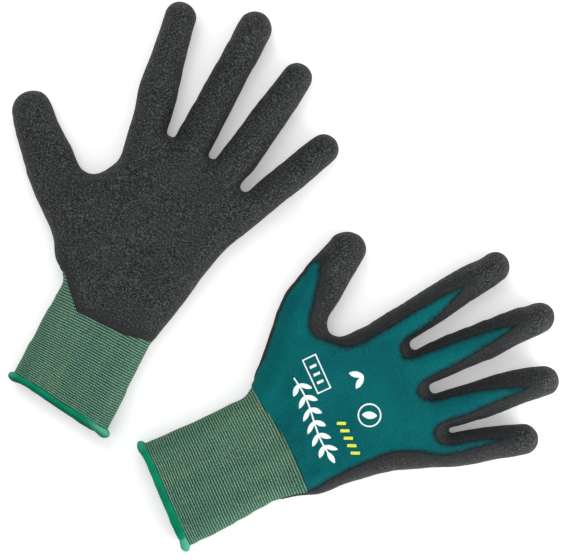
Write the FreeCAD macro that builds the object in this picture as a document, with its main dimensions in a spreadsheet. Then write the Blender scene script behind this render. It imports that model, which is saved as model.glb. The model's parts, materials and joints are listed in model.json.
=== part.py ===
import FreeCAD, Part

import math
import os

# A pair of seamless-knit gardening gloves with latex-dipped palms, lying side by side on a table.
#
# The left glove lies with its palm up and the right glove with its back up. Each glove is a hollow knitted
# shell: a ribbed cuff, a hand section, and five fingers that each fold at the root and at the middle. A latex
# film covers the palm, the fronts of the fingers and their tips, and leaves a bare window on the back of the
# hand with one pointed tongue per finger. Elastic loops line the cuff, an overlocked hem binds its edge, and
# three prints lie on the back.
#
# Every glove is made in its own hand frame, with +Y from the cuff to the fingertips, the thumb on the -X side
# and +Z up from the table, and is then laid on the table. All lengths are in millimetres and all angles are in
# degrees.

os.makedirs("parts", exist_ok=True)
doc = FreeCAD.newDocument("gardening_gloves")
Vector = FreeCAD.Vector
Placement = FreeCAD.Placement
Rotation = FreeCAD.Rotation

FINGERS = ("thumb", "index", "middle", "ring", "little")
FLAT = 1e-6
CLEAR = 2.0  # how far a cutting body runs past what it cuts
SPAN = 240.0  # width of a box that takes in a whole glove
UPRIGHT = Vector(0, 0, 1)

# ---------------------------------------------------------------- driving dimensions

SHARED_SIZES = {
    "glove_thick": 20.0,  # height of the gloves, latex included
    "latex_thick": 0.8,
    "knit_thick": 1.0,
    "edge_round": 8.2,  # rounding along the glove's outer edges
    "cuff_long": 75.0,
    "cuff_spare": 10.0,  # extra outline below the cuff, cut off again
    "latex_start": 57.0,  # how far from the cuff's open end the latex begins
    "hem_long": 5.0,
    "elastic_thick": 0.4,
    "elastic_wide": 0.7,
    "elastic_pitch": 4.5,
    "elastic_first": 8.0,
    "web_round": 2.0,
    "root_fold": 12.0,  # distance of the root fold from a finger's root point
    "fold_high": 12.0,  # height of every fold's axis above the table
    "fold_gap": 0.5,
    "fold_spare": 2.0,  # spare swing on each side of a fold
    "root_swing": 75.0,
    "middle_swing": 85.0,
    "thumb_root_swing": 50.0,
    "thumb_middle_swing": 70.0,
    "lane_spare": 1.0,  # how much wider than its finger a lane is, on each side
    "print_thick": 0.2,
}

# Width at the root, width at the tip, distance from the root point to the middle fold, and how far the bare
# tongue stops short of the fingertip and leans off the centre line. Widths and lengths include the latex.
FINGER_SIZES = {
    "thumb": {"wide": 29.0, "tip": 23.0, "fold": 33.0, "capped": 25.0, "drift": -6.0},
    "index": {"wide": 23.2, "tip": 19.0, "fold": 43.0, "capped": 29.5, "drift": 0.0},
    "middle": {"wide": 22.6, "tip": 19.8, "fold": 47.0, "capped": 22.0, "drift": -0.7},
    "ring": {"wide": 22.6, "tip": 18.4, "fold": 43.0, "capped": 19.5, "drift": 1.5},
    "little": {"wide": 20.2, "tip": 17.2, "fold": 33.0, "capped": 19.5, "drift": -2.6},
}

# Each finger's root point, its lean towards the thumb's side and its length beyond the root point.
FINGER_LAYS = {
    "left": {
        "thumb": {"across": -64.6, "along": 119.4, "lean": 45.5, "long": 53.8},
        "index": {"across": -28.6, "along": 169.7, "lean": 10.2, "long": 77.9},
        "middle": {"across": -0.4, "along": 170.0, "lean": -1.2, "long": 90.8},
        "ring": {"across": 26.5, "along": 167.9, "lean": -9.0, "long": 78.5},
        "little": {"across": 51.1, "along": 162.8, "lean": -23.5, "long": 56.2},
    },
    "right": {
        "thumb": {"across": -64.5, "along": 118.1, "lean": 31.2, "long": 56.5},
        "index": {"across": -33.1, "along": 165.9, "lean": 6.8, "long": 74.9},
        "middle": {"across": -5.1, "along": 167.0, "lean": -1.6, "long": 84.9},
        "ring": {"across": 23.2, "along": 165.8, "lean": -8.0, "long": 73.9},
        "little": {"across": 45.4, "along": 160.4, "lean": -17.1, "long": 54.3},
    },
}

# The hand's own outline points (across, along), the heights of the three webs, and the glove's place on the
# table.
HAND_LAYS = {
    "left": {
        "palm_up": True,
        "cuff_thumb": (-34.8, 0.0),
        "wrist_thumb": (-33.2, 68.0),
        "thumb_base": (-46.5, 86.0),
        "crotch": (-47.5, 126.0),
        "index_side": (-36.0, 148.0),
        "little_side": (45.5, 126.0),
        "wrist_little": (31.4, 58.0),
        "cuff_little": (32.8, 0.0),
        "webs": (171.5, 171.0, 163.5),
        "turn": -27.0,
        "place": (-132.2, -78.1),
    },
    "right": {
        "palm_up": False,
        "cuff_thumb": (-34.3, 0.0),
        "wrist_thumb": (-34.2, 67.0),
        "thumb_base": (-50.3, 84.5),
        "crotch": (-48.0, 121.5),
        "index_side": (-41.5, 148.0),
        "little_side": (43.0, 122.0),
        "wrist_little": (30.6, 58.0),
        "cuff_little": (33.8, 0.0),
        "webs": (167.0, 166.5, 162.5),
        "turn": -65.0,
        "place": (-67.9, -130.6),
    },
}

# Where the two sides of each finger's bare tongue leave the back of the hand, off the finger's centre line.
TONGUE_SIDES = {
    "index": (-2.8, 9.2),
    "middle": (-7.4, 7.2),
    "ring": (-7.2, 6.2),
    "little": (-4.6, 1.6),
}

# The window's corners and their radii: on the thumb, as (ahead, sideways) of its root point, and on the little
# finger's side, as (across, along).
THUMB_WINDOW = (((8.0, 3.5), 30.0), ((-6.0, 7.5), 5.0))
LITTLE_WINDOW = (((30.6, 122.0), 25.0), ((32.0, 80.0), 30.0), ((34.5, 47.0), 0.0))
WINDOW_OUT = -60.0  # across, clear of the wrist on the thumb's side
WINDOW_LOW = 47.0  # along, below where the latex starts

# The prints, in the hand frame.
SPRIG = {"middle": (-6.5, 97.0), "stem_long": 50.0, "stem_wide": 1.0, "pairs": 6, "off_stem": 3.0, "ahead": 2.4}
SPRIG_LEAF = {"long": 8.4, "wide": 3.0, "turn": 48.0}
END_LEAF = {"middle": (20.0, 97.0), "long": 8.0, "wide": 3.2, "turn": 0.0}
RING = {"middle": (7.0, 128.0), "outer": 7.0, "inner": 6.1}
RING_LEAF = {"long": 9.0, "wide": 4.4, "turn": 60.0}
BADGE_FRAME = {"middle": (-28.0, 110.0), "long": 22.0, "wide": 9.0, "line": 0.8}
BADGE_STEP = {"pitch": 5.0, "long": 1.6, "wide": 4.2}
TWIN_LEAVES = (((-18.0, 131.0), 55.0), ((-13.0, 131.0), 125.0))
TWIN_LEAF = {"long": 9.0, "wide": 3.6}
SLANTED_ROW = {"first": (4.4, 111.0), "pitch": 4.8, "count": 5, "long": 5.4, "wide": 1.8, "turn": 64.0}

sheet = doc.addObject("Spreadsheet::Sheet", "Sizes")


def fill_sheet():
    """Writes every driving dimension into a named cell."""
    cells = dict(SHARED_SIZES)
    for finger, sizes in FINGER_SIZES.items():
        cells.update({f"{finger}_{key}": value for key, value in sizes.items()})
    for side, lays in FINGER_LAYS.items():
        for finger, lay in lays.items():
            cells.update({f"{side}_{finger}_{key}": value for key, value in lay.items()})
    for row, (name, value) in enumerate(cells.items(), 1):
        sheet.set(f"A{row}", name)
        sheet.set(f"B{row}", str(value))
        sheet.setAlias(f"B{row}", name)
    doc.recompute()


def size(name):
    """The value of a named cell."""
    return float(getattr(sheet, name))


# ---------------------------------------------------------------- document helpers


def bind(made, prop, text):
    """Binds a property to an expression, in which [name] stands for a cell of the sheet."""
    made.setExpression(prop, text.replace("[", "Sizes.").replace("]", ""))


def add(kind, label, **sizes):
    """Adds an object with some of its properties bound to expressions."""
    made = doc.addObject("Part::" + kind, label)
    made.Label = label
    for prop, text in sizes.items():
        bind(made, prop, text)
    return made


def combine(kind, label, base, tool):
    """A Cut or a Common of two objects."""
    made = add(kind, label)
    made.Base = base
    made.Tool = tool
    return made


def fuse(label, members):
    made = add("MultiFuse", label)
    made.Shapes = members
    return made


def slab_box(label, start, end):
    """A box right across a glove from start to end along it; both are expressions."""
    box = add("Box", label, Height=f"[glove_thick] + {2 * CLEAR}", Width=f"{end} - ({start})")
    box.Length = SPAN
    bind(box, ".Placement.Base.y", start)
    box.Placement.Base.x = -SPAN / 2
    box.Placement.Base.z = -CLEAR
    return box


# ---------------------------------------------------------------- plane geometry


class Finger:
    """One finger's centre line and half widths in the hand frame."""

    def __init__(self, side, name):
        lay = f"{side}_{name}_"
        self.name = name
        self.root = Vector(size(lay + "across"), size(lay + "along"), 0)
        self.lean = size(lay + "lean")
        self.long = size(lay + "long")
        self.half_root = size(name + "_wide") / 2
        self.half_tip = size(name + "_tip") / 2
        lean = math.radians(self.lean)
        self.ahead = Vector(-math.sin(lean), math.cos(lean), 0)
        self.sideways = Vector(math.cos(lean), math.sin(lean), 0)

    def point(self, ahead, sideways=0.0):
        """The point so far ahead of the root point and so far towards the little finger's side."""
        return self.root + self.ahead * ahead + self.sideways * sideways

    def edge_at(self, side, along):
        """The point of the finger's edge (side -1 or 1) that is so far along the hand."""
        low = self.point(0, side * self.half_root)
        high = self.point(self.long - self.half_tip, side * self.half_tip)
        share = (along - low.y) / (high.y - low.y)
        return Vector(low.x + share * (high.x - low.x), along, 0)

    def tip_corners(self):
        """The two corners of the fingertip, rounded to almost a half circle."""
        nearly_half = 0.985 * self.half_tip
        return [(self.point(self.long, side * self.half_tip), nearly_half) for side in (-1, 1)]

    def frame(self, ahead=0.0, height=0.0):
        """A placement on the centre line with +Y along the finger."""
        spot = self.point(ahead)
        return Placement(Vector(spot.x, spot.y, height), Rotation(UPRIGHT, self.lean))


def rounded_face(corners, height):
    """A face at a height through corners (point, radius), each rounded as far as its two runs allow."""
    count = len(corners)
    starts, ends, arcs = [], [], []
    for i, (corner, radius) in enumerate(corners):
        back = corners[i - 1][0] - corner
        onward = corners[(i + 1) % count][0] - corner
        half_turn = back.getAngle(onward) / 2
        reach = min(radius / math.tan(half_turn), 0.495 * back.Length, 0.495 * onward.Length)
        back.normalize()
        onward.normalize()
        starts.append(corner + back * reach)
        ends.append(corner + onward * reach)
        fitted = reach * math.tan(half_turn)
        inside = fitted / math.sin(half_turn) - fitted
        arcs.append(corner + (back + onward).normalize() * inside if reach > FLAT else None)
    edges = []
    for i in range(count):
        if arcs[i]:
            edges.append(Part.Arc(starts[i], arcs[i], ends[i]).toShape())
        edges.append(Part.makeLine(ends[i], starts[(i + 1) % count]))
    wire = Part.Wire(edges)
    wire.translate(Vector(0, 0, height))
    return Part.Face(wire)


def hand_outline(hand, fingers):
    """The whole glove seen from above, latex included."""
    spare = size("cuff_spare")

    def spot(name, radius, below=0.0):
        across, along = hand[name]
        return (Vector(across, along - below, 0), radius)

    thumb, little = fingers["thumb"], fingers["little"]
    corners = [spot("cuff_thumb", 0, spare), spot("wrist_thumb", 12), spot("thumb_base", 25)]
    corners.append((thumb.point(0, -thumb.half_root), 60))
    corners += thumb.tip_corners()
    corners += [spot("crotch", 8), spot("index_side", 16)]
    row = [fingers[name] for name in FINGERS[1:]]
    for finger, neighbour, web in zip(row, row[1:], hand["webs"]):
        corners += finger.tip_corners()
        corners.append((finger.edge_at(1, web), size("web_round")))
        corners.append((neighbour.edge_at(-1, web), size("web_round")))
    corners += little.tip_corners()
    corners.append((little.point(0, little.half_root), 60))
    corners += [spot("little_side", 60), spot("wrist_little", 60), spot("cuff_little", 0, spare)]
    return rounded_face(corners, size("glove_thick") / 2)


def tongue(finger, near, far):
    """The corners of one bare tongue: its two sides at the finger's root, and a point near the tip."""
    end = finger.long - size(finger.name + "_capped")
    drift = size(finger.name + "_drift")
    start = -4.0
    waist = 0.55 * end
    pinch = 1.6
    root_round, side_round, point_round = 1.5, 30, 1.2
    return [
        (finger.point(start, near), root_round),
        (finger.point(waist, near + pinch), side_round),
        (finger.point(end, drift), point_round),
        (finger.point(waist, far - pinch), side_round),
        (finger.point(start, far), root_round),
    ]


def window_outline(hand, fingers):
    """The bare window of the back seen from above. On the thumb's side it runs past the glove's edge."""
    thumb, index = fingers["thumb"], fingers["index"]
    wrist_high, thumb_high = 80.0, 18.0
    thumb_end = thumb.long - size("thumb_capped")
    crotch_round = 25
    corners = [(Vector(WINDOW_OUT, WINDOW_LOW, 0), 0), (Vector(WINDOW_OUT, wrist_high, 0), 0)]
    corners.append((thumb.point(thumb_high, -thumb.half_root - 2 * CLEAR), 0))
    corners.append((thumb.point(thumb_end, size("thumb_drift")), 1.5))
    corners += [(thumb.point(*place), radius) for place, radius in THUMB_WINDOW]
    corners.append((Vector(index.root.x - 3, hand["crotch"][1] - 5, 0), crotch_round))
    for name, (near, far) in TONGUE_SIDES.items():
        corners += tongue(fingers[name], near, far)
    corners += [(Vector(*place, 0), radius) for place, radius in LITTLE_WINDOW]
    return rounded_face(corners, size("glove_thick") / 2)


# ---------------------------------------------------------------- whole-glove bodies


def inset(label, outline, amount):
    """The outline moved inwards by an expression's amount."""
    moved = add("Offset2D", label, Value=f"-({amount})")
    moved.Source = outline
    return moved


def pillow(label, outline, height, rounding):
    """A slab of the outline, even about the glove's middle height, with its upper and lower rims rounded."""
    slab = add("Extrusion", label + "_slab", LengthFwd=height)
    slab.Base = outline
    slab.DirMode = "Custom"
    slab.Dir = UPRIGHT
    slab.Solid = True
    slab.Symmetric = True
    doc.recompute()
    box = slab.Shape.BoundBox
    rims = []
    for number, edge in enumerate(slab.Shape.Edges, 1):
        bounds = edge.BoundBox
        level = bounds.ZLength < FLAT and (bounds.ZMin < box.ZMin + FLAT or bounds.ZMax > box.ZMax - FLAT)
        at_cuff = bounds.YMax < box.YMin + FLAT
        if level and not at_cuff:
            rims.append((number, rounding, rounding))
    rounded = add("Fillet", label)
    rounded.Base = slab
    rounded.Edges = rims
    return rounded


def latex_window(side, hand, fingers):
    """The room over the bare window, on the half of the glove's height where the back of the hand is."""
    outline = add("Feature", side + "_window_outline")
    outline.Shape = window_outline(hand, fingers)
    room = add("Extrusion", side + "_window", LengthFwd=f"[glove_thick] / 2 + {CLEAR}")
    room.Base = outline
    room.DirMode = "Custom"
    room.Dir = Vector(0, 0, -1 if hand["palm_up"] else 1)
    room.Solid = True
    return room


# ---------------------------------------------------------------- folds


def lane_placement(finger, ahead, lane, height, setback=0.0):
    """Where a box as wide as a lane starts, so far ahead on a finger."""
    corner = Placement(Vector(-lane, -setback, 0), Rotation())
    return finger.frame(ahead, height).multiply(corner)


def fold_room(label, finger, ahead, swing):
    """The room that a fold needs: a V above its axis, as wide as its swing, and a thin slit below it."""
    lane = finger.half_root + size("lane_spare")
    above = f"([glove_thick] + {CLEAR} - [fold_high])"
    mouth = f"{above} * tan([{swing}] / 2 + [fold_spare])"
    vee = add("Wedge", label + "_vee", Xmin="-[fold_gap] / 2", Xmax="[fold_gap] / 2", Ymax=above)
    bind(vee, "X2min", f"-{mouth}")
    bind(vee, "X2max", mouth)
    vee.Ymin = 0
    vee.Zmin = vee.Z2min = -lane
    vee.Zmax = vee.Z2max = lane
    on_end = Placement(Vector(0, 0, 0), Rotation(Vector(1, 1, 1), 120))
    vee.Placement = finger.frame(ahead, size("fold_high")).multiply(on_end)
    slit = add("Box", label + "_slit", Width="[fold_gap]", Height=f"[fold_high] + {CLEAR}")
    slit.Length = 2 * lane
    slit.Placement = lane_placement(finger, ahead, lane, -CLEAR, size("fold_gap") / 2)
    return [vee, slit]


def lane_box(label, finger, start, end):
    """A box over a stretch of one finger, clear of its neighbours."""
    lane = finger.half_root + size("lane_spare")
    box = add("Box", label, Height=f"[glove_thick] + {2 * CLEAR}")
    box.Length = 2 * lane
    box.Width = end - start
    box.Placement = lane_placement(finger, start, lane, -CLEAR)
    return box


# ---------------------------------------------------------------- prints


def disc(label, radius, where, height, thick="[print_thick]"):
    made = add("Cylinder", label, Height=thick)
    made.Radius = radius
    made.Placement = Placement(Vector(*where, height), Rotation())
    return made


def leaf(label, where, long, wide, turn, height):
    """A thin pointed leaf: the overlap of two discs."""
    radius = (long * long + wide * wide) / (4 * wide)
    offset = radius - wide / 2
    discs = [disc(f"{label}_disc_{sign}", radius, (0, sign * offset), 0) for sign in (-1, 1)]
    blade = combine("Common", label, *discs)
    blade.Placement = Placement(Vector(*where, height), Rotation(UPRIGHT, turn))
    return blade


def bar(label, where, long, wide, turn, height, thick="[print_thick]"):
    """A thin straight bar centred on a point."""
    made = add("Box", label, Height=thick)
    made.Length = long
    made.Width = wide
    centred = Placement(Vector(-long / 2, -wide / 2, 0), Rotation())
    made.Placement = Placement(Vector(*where, height), Rotation(UPRIGHT, turn)).multiply(centred)
    return made


def marks(label, parts):
    """Several marks of one print, kept together."""
    made = add("Compound", label)
    made.Links = parts
    return made


def sprig_print(label, height):
    """A white sprig of leaves across the back of the hand."""
    across, along = SPRIG["middle"]
    long, pairs = SPRIG["stem_long"], SPRIG["pairs"]
    parts = [bar(label + "_stem", SPRIG["middle"], long, SPRIG["stem_wide"], 0, height)]
    for i in range(pairs):
        start = across - long / 2 + (i + 0.6) * long / (pairs + 0.4)
        for side in (-1, 1):
            where = (start + SPRIG["ahead"], along + side * SPRIG["off_stem"])
            turn = side * SPRIG_LEAF["turn"]
            name = f"{label}_leaf_{i}_{side}"
            parts.append(leaf(name, where, SPRIG_LEAF["long"], SPRIG_LEAF["wide"], turn, height))
    end = END_LEAF
    parts.append(leaf(label + "_end_leaf", end["middle"], end["long"], end["wide"], end["turn"], height))
    return fuse(label, parts)


def badge_print(label, height):
    """White marks: a ring round a leaf, a framed row of three bars, and a pair of small leaves."""
    through = f"[print_thick] + {2 * CLEAR}"
    outer = disc(label + "_ring_outer", RING["outer"], RING["middle"], height)
    inner = disc(label + "_ring_inner", RING["inner"], RING["middle"], height - CLEAR, through)
    parts = [combine("Cut", label + "_ring", outer, inner)]
    shape = RING_LEAF
    parts.append(leaf(label + "_ring_leaf", RING["middle"], shape["long"], shape["wide"], shape["turn"], height))
    middle, long, wide, line = (BADGE_FRAME[key] for key in ("middle", "long", "wide", "line"))
    outer = bar(label + "_frame_outer", middle, long, wide, 0, height)
    inner = bar(label + "_frame_inner", middle, long - 2 * line, wide - 2 * line, 0, height - CLEAR, through)
    parts.append(combine("Cut", label + "_frame", outer, inner))
    for i in (-1, 0, 1):
        where = (middle[0] + i * BADGE_STEP["pitch"], middle[1])
        parts.append(bar(f"{label}_step_{i}", where, BADGE_STEP["long"], BADGE_STEP["wide"], 0, height))
    for i, (where, turn) in enumerate(TWIN_LEAVES):
        parts.append(leaf(f"{label}_twin_{i}", where, TWIN_LEAF["long"], TWIN_LEAF["wide"], turn, height))
    return marks(label, parts)


def row_print(label, height):
    """A yellow row of short slanting bars."""
    row = SLANTED_ROW
    parts = []
    for i in range(row["count"]):
        where = (row["first"][0] + i * row["pitch"], row["first"][1])
        parts.append(bar(f"{label}_slant_{i}", where, row["long"], row["wide"], row["turn"], height))
    return marks(label, parts)


# ---------------------------------------------------------------- one glove


def build_glove(side):
    """Makes all sub-parts of one glove and returns them by name, still in the hand frame."""
    hand = HAND_LAYS[side]
    fingers = {name: Finger(side, name) for name in FINGERS}

    def name(text):
        return f"{side}_{text}"

    outline = add("Feature", name("outline"))
    outline.Shape = hand_outline(hand, fingers)
    rounding = size("edge_round")
    latex, knit, elastic = size("latex_thick"), size("knit_thick"), size("elastic_thick")
    shell_high = "[glove_thick] - 2 * [latex_thick]"
    room_high = shell_high + " - 2 * [knit_thick]"
    core_high = room_high + " - 2 * [elastic_thick]"
    shell_outline = inset(name("shell_outline"), outline, "[latex_thick]")
    room_outline = inset(name("room_outline"), outline, "[latex_thick] + [knit_thick]")
    core_outline = inset(name("core_outline"), outline, "[latex_thick] + [knit_thick] + [elastic_thick]")
    film = pillow(name("film"), outline, "[glove_thick]", rounding)
    shell = pillow(name("shell"), shell_outline, shell_high, rounding - latex)
    room = pillow(name("room"), room_outline, room_high, rounding - latex - knit)
    core = pillow(name("core"), core_outline, core_high, rounding - latex - knit - elastic)

    knitted = combine("Cut", name("knitted"), shell, room)
    film_shell = combine("Cut", name("film_shell"), film, shell)
    above_cuff = slab_box(name("above_latex_start"), "[latex_start]", "[latex_start] + 300")
    film_shell = combine("Common", name("film_above_wrist"), film_shell, above_cuff)
    film_shell = combine("Cut", name("film_open"), film_shell, latex_window(side, hand, fingers))

    made = {}
    beyond = []
    for finger in fingers.values():
        label = name(finger.name)
        swing = "thumb_" if finger.name == "thumb" else ""
        root_fold, middle_fold = size("root_fold"), size(finger.name + "_fold")
        root_room = fold_room(label + "_root_fold", finger, root_fold, swing + "root_swing")
        middle_room = fold_room(label + "_middle_fold", finger, middle_fold, swing + "middle_swing")
        beyond += root_room + [lane_box(label + "_lane", finger, root_fold, finger.long + CLEAR)]
        root_lane = lane_box(label + "_root_lane", finger, root_fold, middle_fold)
        tip_lane = lane_box(label + "_tip_lane", finger, middle_fold, finger.long + CLEAR)
        both_rooms = fuse(label + "_rooms", root_room + middle_room)
        root_zone = combine("Cut", label + "_root_zone", root_lane, both_rooms)
        tip_zone = combine("Cut", label + "_tip_zone", tip_lane, fuse(label + "_middle_room", middle_room))
        for part, zone in (("root", root_zone), ("tip", tip_zone)):
            made[f"{finger.name}_{part}_liner"] = combine("Common", f"{label}_{part}_liner", knitted, zone)
            made[f"{finger.name}_{part}_coating"] = combine("Common", f"{label}_{part}_coating", film_shell, zone)

    past_folds = fuse(name("past_root_folds"), beyond)
    hand_slab = slab_box(name("hand_slab"), "[cuff_long]", "[cuff_long] + 150")
    hand_knit = combine("Common", name("hand_knit"), knitted, hand_slab)
    made["hand_liner"] = combine("Cut", name("hand_liner"), hand_knit, past_folds)
    made["hand_coating"] = combine("Cut", name("hand_coating"), film_shell, past_folds)
    cuff_slab = slab_box(name("cuff_slab"), "0", "[cuff_long]")
    made["cuff"] = combine("Common", name("cuff"), knitted, cuff_slab)
    hem_slab = slab_box(name("hem_slab"), "-[latex_thick]", "[hem_long]")
    hem_block = combine("Common", name("hem_block"), combine("Cut", name("hem_tube"), film, room), hem_slab)
    cuff_space = combine("Common", name("cuff_space"), knitted, cuff_slab)
    made["hem"] = combine("Cut", name("hem"), hem_block, cuff_space)
    lining = combine("Cut", name("elastic_lining"), room, core)
    loop_slabs = []
    count = int((size("cuff_long") - size("elastic_first")) / size("elastic_pitch"))
    for i in range(count):
        start = f"[elastic_first] + {i} * [elastic_pitch]"
        loop_slabs.append(slab_box(name(f"elastic_slab_{i}"), start, f"{start} + [elastic_wide]"))
    slabs = add("Compound", name("elastic_slabs"))
    slabs.Links = loop_slabs
    made["cuff_elastic"] = combine("Common", name("cuff_elastic"), lining, slabs)

    latex_high = size("latex_thick")
    back = latex_high - size("print_thick") if hand["palm_up"] else size("glove_thick") - latex_high
    made["sprig_print"] = sprig_print(name("sprig_print"), back)
    made["badge_print"] = badge_print(name("badge_print"), back)
    made["row_print"] = row_print(name("row_print"), back)
    return made


fill_sheet()
nodes = []
for side, hand in HAND_LAYS.items():
    across, along = hand["place"]
    place = Placement(Vector(across, along, 0), Rotation(UPRIGHT, hand["turn"]))
    for part in build_glove(side).values():
        part.Placement = place
        nodes.append(part)
doc.recompute()

for made in doc.Objects:
    if "Invalid" in made.State or "Error" in made.State:
        raise RuntimeError(f"{made.Label} could not be made: {made.State}")
for node in nodes:
    if node.Shape.isNull() or not node.Shape.isValid():
        raise RuntimeError(f"{node.Label} has no valid shape")
for node in nodes:
    node.Shape.exportStep(f"parts/{node.Label}.step")
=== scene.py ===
"""A pair of knitted gardening gloves with black latex palms: the looks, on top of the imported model.

Each glove is modelled in millimetres in its own hand frame: u across the hand with the thumb on
the -u side, v from the cuff's edge to the fingertips, and z up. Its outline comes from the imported
nodes. The knitted surface is a level set over that outline, and every fabric and latex piece is
cut from it, so that their edges meet.
"""

import json
import math

import bpy
import numpy as np
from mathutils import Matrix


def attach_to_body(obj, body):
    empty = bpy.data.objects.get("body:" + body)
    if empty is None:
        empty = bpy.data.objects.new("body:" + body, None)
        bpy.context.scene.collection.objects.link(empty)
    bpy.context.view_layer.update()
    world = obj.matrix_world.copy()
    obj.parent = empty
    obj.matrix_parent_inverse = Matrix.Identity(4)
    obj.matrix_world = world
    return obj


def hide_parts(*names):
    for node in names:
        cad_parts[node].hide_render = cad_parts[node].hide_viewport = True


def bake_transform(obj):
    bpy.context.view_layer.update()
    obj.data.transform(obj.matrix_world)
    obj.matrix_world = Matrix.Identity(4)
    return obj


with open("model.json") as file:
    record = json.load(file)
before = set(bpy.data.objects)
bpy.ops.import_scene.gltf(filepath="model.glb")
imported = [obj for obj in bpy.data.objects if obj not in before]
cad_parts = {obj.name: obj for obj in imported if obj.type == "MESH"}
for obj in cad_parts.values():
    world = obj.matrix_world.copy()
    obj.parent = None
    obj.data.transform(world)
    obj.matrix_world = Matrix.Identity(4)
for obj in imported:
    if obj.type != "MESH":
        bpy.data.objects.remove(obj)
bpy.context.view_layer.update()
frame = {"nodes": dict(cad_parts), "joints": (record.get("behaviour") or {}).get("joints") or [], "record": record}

import openvdb
from mathutils import Vector
from mathutils.bvhtree import BVHTree
from mathutils.kdtree import KDTree

MM = 0.001
SIDES = ("left", "right")
FINGERS = ("thumb", "index", "middle", "ring", "little")

# Sizes in millimetres, in the hand frame.
GRID = 0.5  # spacing of the outline's map
MAP_MARGIN = 12
RAY_START = 60
VOXEL = 1.3  # spacing of the knitted surface's points
ROUND = 10.5  # how far in from the outline the surface is still curving
MIDDLE_HIGH = 9.4  # height of the gloves' widest line above the table
TOP_RISE = 10.4  # of the upper side above that line
BOTTOM_DROP = 8.7  # of the lower side below it
FLOOR_GAP = 0.02
WEB_ROUND = 2.2  # map cells by which the outline's inner corners are rounded
OPEN_END = 7.0  # clear of the hem, which is wider than the cuff that it ends
ROOT_FOLD = 12.0  # from a finger's root point to its root fold
FOLD_REACH = 12.0  # how far the stretch round a finger's middle fold runs on each side; the tip length starts at its near end
ROOT_REACH = 25.0  # how far along a finger the stretch after its root fold runs, at most
BEND_FROM = 1.0  # along a finger, where it stops being part of the hand
LANE_SPARE = 1.0
KNIT_THICK = 1.0
LATEX_THICK = 0.65
LATEX_EDGE = 0.12  # thickness of the film where it ends
LATEX_FADE = 1.8  # from there to its full thickness
LATEX_LIFT = 0.03  # from the knit to the film's inner side
INK_PROUD = 0.16

AHEAD = np.array([0, 1.0, 0])  # in the hand frame

# The cuff.
CUFF_LONG = 75.0
CUFF_TUCK = 0.75  # how far its end lies under the teal knit
COURSE = 1.27  # height of one pale and one dark course of the rib, at the hem
COURSE_GROWTH = 0.0049  # share by which a course is taller for each millimetre from the hem
RIDGE = 0.28  # of each pale course
ELASTIC_LOOPS = 14
ELASTIC_FIRST = 9.0
ELASTIC_PITCH = 4.6
ELASTIC_RADIUS = 0.35

# The hem.
HEM_LONG = 4.8
HEM_THICK = 1.15  # half the thickness of the wound band
HEM_HALF = 2.25  # half its height
HEM_FLARE = 1.7  # how far it stands out at the glove's sides
HEM_SUNK = 0.35
HEM_DROPS = {"left": (-2.0, 4.0), "right": (3.9, 5.2)}  # past the plain cuff: thumb side, other
HIGHLIGHT_FADES = {"left": (2.0, 17.0), "right": (5.6, 7.0)}  # where the painted highlight on its little-side end fades, from that side
HEM_UNDER_SHADE = {"left": 1.0, "right": 0.45}  # how strongly painted shade darkens its lower half
COIL = 1.25  # from one turn of the hem's thread to the next

# The teal knit's stitches.
WALE = 1.15
ROW = 0.9

# The cloth run, in millimetres, and in hundredths of them for the solver.
CLOTH_SPACING = 3.2
CLOTH_SCALE = 0.01
CLOTH_FRAMES = 18
CLOTH_PRESSURE = 0.5
CLOTH_EXCESS = 0.05  # how much larger than its shape the fabric is cut
CLOTH_CAP = 1.6
SIDEWAYS_SHARE = 0.3  # kept of the cloth's sideways movement, so that the outline stays

# Swellings of the upper side: across, along, how wide each way, and the share of its rise.
MOUNDS = (
    (-40, 104, 22, 22, 0.10),  # the ball of the thumb
    (28, 112, 14, 26, 0.06),  # the heel of the hand
    (-2, 112, 18, 22, -0.10),  # the hollow of the palm
)

# Where each glove's edge is fuller, or below 0 leaner, than the plain outline: across, along,
# reach, amount.
SWELLS = {
    "left": (
        (-39.5, 141, 10, -2.2), (-41.6, 80, 11, 1.9), (-33, 64, 10, -0.8), (-92, 132, 16, 0.8),
        (-44, 192, 14, 1.3), (65, 160, 16, -1.1), (42, 112, 16, -0.4), (-78, 151, 13, -0.9),
        (-105, 145, 10, -0.9), (36, 166, 7, -1.8), (45, 237, 12, -1.2), (-27, 227, 15, -0.7),
    ),
    "right": (
        (-44, 135, 9, -3.4), (37, 82, 10, 2.0), (44, 100, 14, 0.7), (-96.5, 148, 10, -1.9),
        (-98, 160, 8, -1.4), (-47.5, 128, 7, -2.8), (-17.5, 168, 5, -0.9), (34, 163, 6, -1.5),
        (-50, 226, 9, -1.6), (-12, 243, 9, -1.8), (26, 235, 9, -1.8), (8, 203, 15, 1.1),
        (40, 192, 13, 1.0), (57, 168, 15, 0.8), (30.5, 20, 20, 1.1), (-32, 36, 20, -0.7),
    ),
}

# The camera looks straight down, in metres.
CAMERA_PLACE = (-0.0010, -0.0031, 1.51)
CAMERA_LENS = 161.8
SKY_LIGHT = 0.81  # brightness of the studio's white walls as they light the gloves
SKY_SEEN = 1.02  # and as they are seen behind the table, where they match its white
FLOOR_GLOW = 0.22  # light of the table's own, which softens the shadows

# Each light's place, size and power.
LIGHTS = {
    "key": ((-0.35, 0.75, 1.1), 0.9, 6.0),
    "fill": ((0.8, -0.5, 1.0), 1.2, 1.5),
    "low": ((0.60, -0.42, 0.24), 0.4, 4.6),
}


# ---- frames


columns = np.column_stack


def lengths(rows):
    """The length of each row, as a column."""
    return np.linalg.norm(rows, axis=1)[:, None]


def joint(name):
    """A packed joint by its name."""
    return next(j for j in frame["joints"] if j["name"] == name)


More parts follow.
